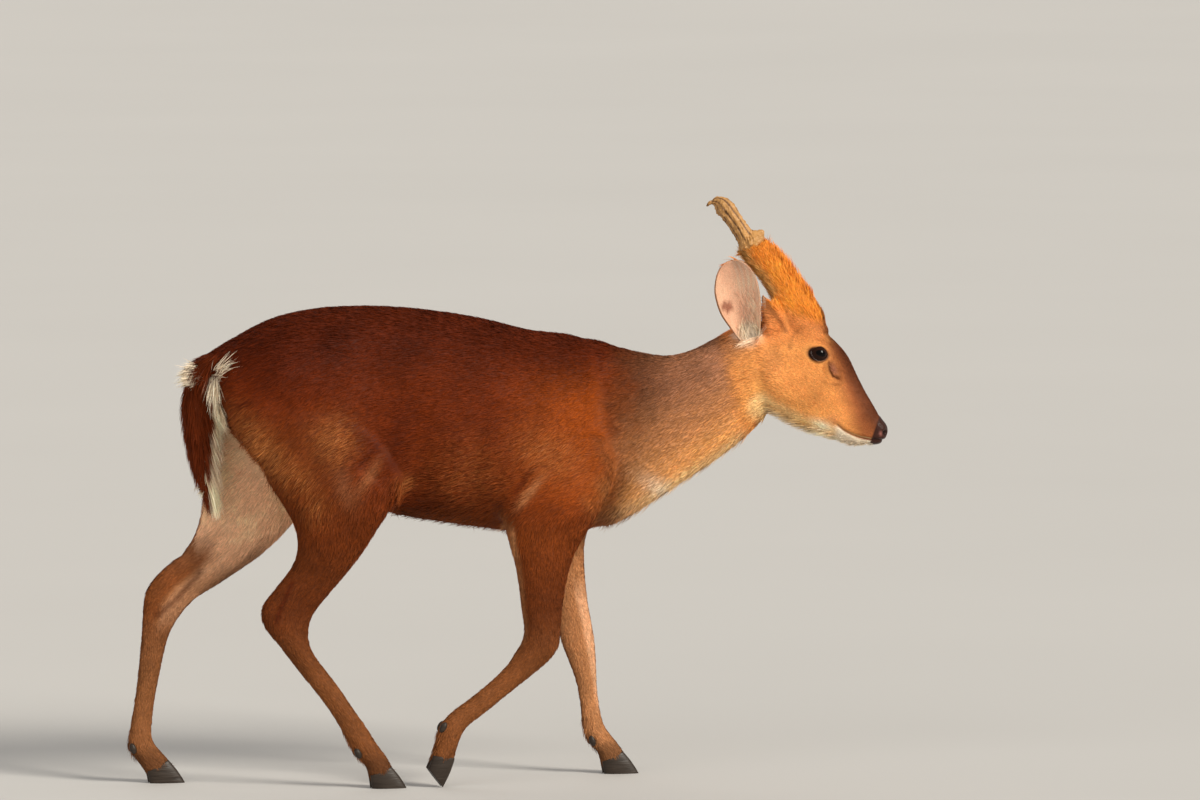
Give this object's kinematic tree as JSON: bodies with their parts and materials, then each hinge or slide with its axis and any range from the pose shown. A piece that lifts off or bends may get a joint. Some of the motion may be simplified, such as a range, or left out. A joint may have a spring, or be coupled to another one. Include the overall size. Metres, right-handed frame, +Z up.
{
  "type": "muntjac",
  "caption": "Adult male muntjac in a walking stance, head lowered, with haired pedicles, short hooked antlers, a white-fringed tail and cloven hooves.",
  "frame": {"origin": "on the floor, under the middle of the model's box", "axes": "+X from tail to nose, +Y to the animal's left, +Z up"},
  "size_m": [1.0192, 0.2173, 0.789],
  "materials": {
    "torso": "short deep red-brown coat",
    "neck": "short grey-brown coat, cream below",
    "head": "fine short ochre-brown coat",
    "nose_pad": "moist, finely pebbled skin",
    "pedicle": "bright orange hair, longer than on the face",
    "ear": "thin, short-haired, pinkish inside",
    "eye": "wet gloss",
    "antler": "ribbed horn, yellowish tan",
    "tail": "long coat, brown above and white below",
    "hoof": "smooth dark horn",
    "leg": "very short brown coat"
  },
  "bodies": {
    "root": {"torso": "torso", "neck": "neck", "head": "head", "nose_pad": "nose_pad", "ear_left": "ear", "ear_right": "ear", "eye_left": "eye", "eye_right": "eye", "pedicle_left": "pedicle", "pedicle_right": "pedicle", "antler_left": "antler", "antler_right": "antler", "tail": "tail", "hind_right_upper": "leg", "hind_right_cannon": "leg", "hind_right_foot": "leg", "hind_right_claw_right": "hoof", "hind_right_claw_left": "hoof", "hind_right_dewclaw_right": "hoof", "hind_right_dewclaw_left": "hoof", "hind_left_upper": "leg", "hind_left_cannon": "leg", "hind_left_foot": "leg", "hind_left_claw_right": "hoof", "hind_left_claw_left": "hoof", "hind_left_dewclaw_right": "hoof", "hind_left_dewclaw_left": "hoof", "fore_right_upper": "leg", "fore_right_cannon": "leg", "fore_right_foot": "leg", "fore_right_claw_right": "hoof", "fore_right_claw_left": "hoof", "fore_right_dewclaw_right": "hoof", "fore_right_dewclaw_left": "hoof", "fore_left_upper": "leg", "fore_left_cannon": "leg", "fore_left_foot": "leg", "fore_left_claw_right": "hoof", "fore_left_claw_left": "hoof", "fore_left_dewclaw_right": "hoof", "fore_left_dewclaw_left": "hoof"}
  },
  "joints": []
}
